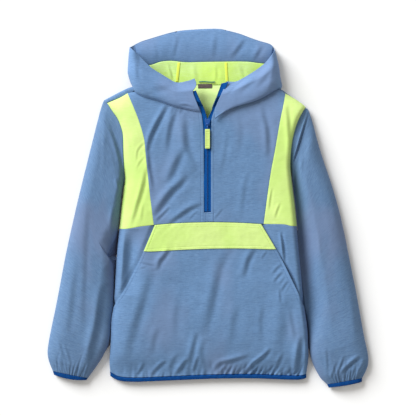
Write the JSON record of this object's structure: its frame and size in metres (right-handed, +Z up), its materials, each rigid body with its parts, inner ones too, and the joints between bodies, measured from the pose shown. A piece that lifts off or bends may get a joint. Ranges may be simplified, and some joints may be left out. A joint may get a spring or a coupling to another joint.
{
  "type": "anorak pullover",
  "caption": "Child's hooded half-zip anorak pullover laid flat, with contrast chest inserts, a kangaroo pocket under a flap and bound stretch hem and cuffs.",
  "frame": {"origin": "on the table, below the middle of the laid-out garment's outline", "axes": "+Z up off the table and out of the garment's front, +Y towards the hood, +X towards the sleeve on the right as seen from above"},
  "size_m": [0.6426, 0.718, 0.039],
  "materials": {
    "blue_cloth": "heathered blue plain-weave polyester, matt",
    "neon_cloth": "neon yellow plain-weave polyester, matt",
    "lining": "neon green-yellow lining cloth, matt",
    "seam_tape": "bright yellow woven seam tape",
    "binding": "dark blue stretch binding",
    "zip_tape": "dark blue woven zip tape with a nylon coil",
    "slider": "dark blue enamelled zinc",
    "pull": "neon yellow moulded soft plastic",
    "label": "grey-brown woven label, bare",
    "loop": "dark green cord"
  },
  "bodies": {
    "garment": {"back_body": "blue_cloth", "front_chest": "blue_cloth", "front_lower": "blue_cloth", "pocket": "blue_cloth", "sleeve_left": "blue_cloth", "sleeve_right": "blue_cloth", "hood_side_left": "blue_cloth", "hood_side_right": "blue_cloth", "hood_centre": "blue_cloth", "hood_facing": "blue_cloth", "insert_left": "neon_cloth", "insert_right": "neon_cloth", "pocket_flap": "neon_cloth", "hood_lining": "lining", "back_lining": "lining", "hood_tape_left": "seam_tape", "hood_tape_right": "seam_tape", "hem_binding": "binding", "cuff_binding_left": "binding", "cuff_binding_right": "binding", "zip_tape_left": "zip_tape", "zip_tape_right": "zip_tape", "zip_slider": "slider", "neck_label": "label", "hang_loop": "loop"},
    "zip_pull": {"pull_link": "slider", "pull_grip": "pull"}
  },
  "joints": [
    {"name": "pull_hinge", "type": "hinge", "parent": "garment", "child": "zip_pull", "pos_m": [-0.001, 0.167, 0.03657], "axis": [-1, 0, 0], "range_deg": [0, 150]}
  ]
}
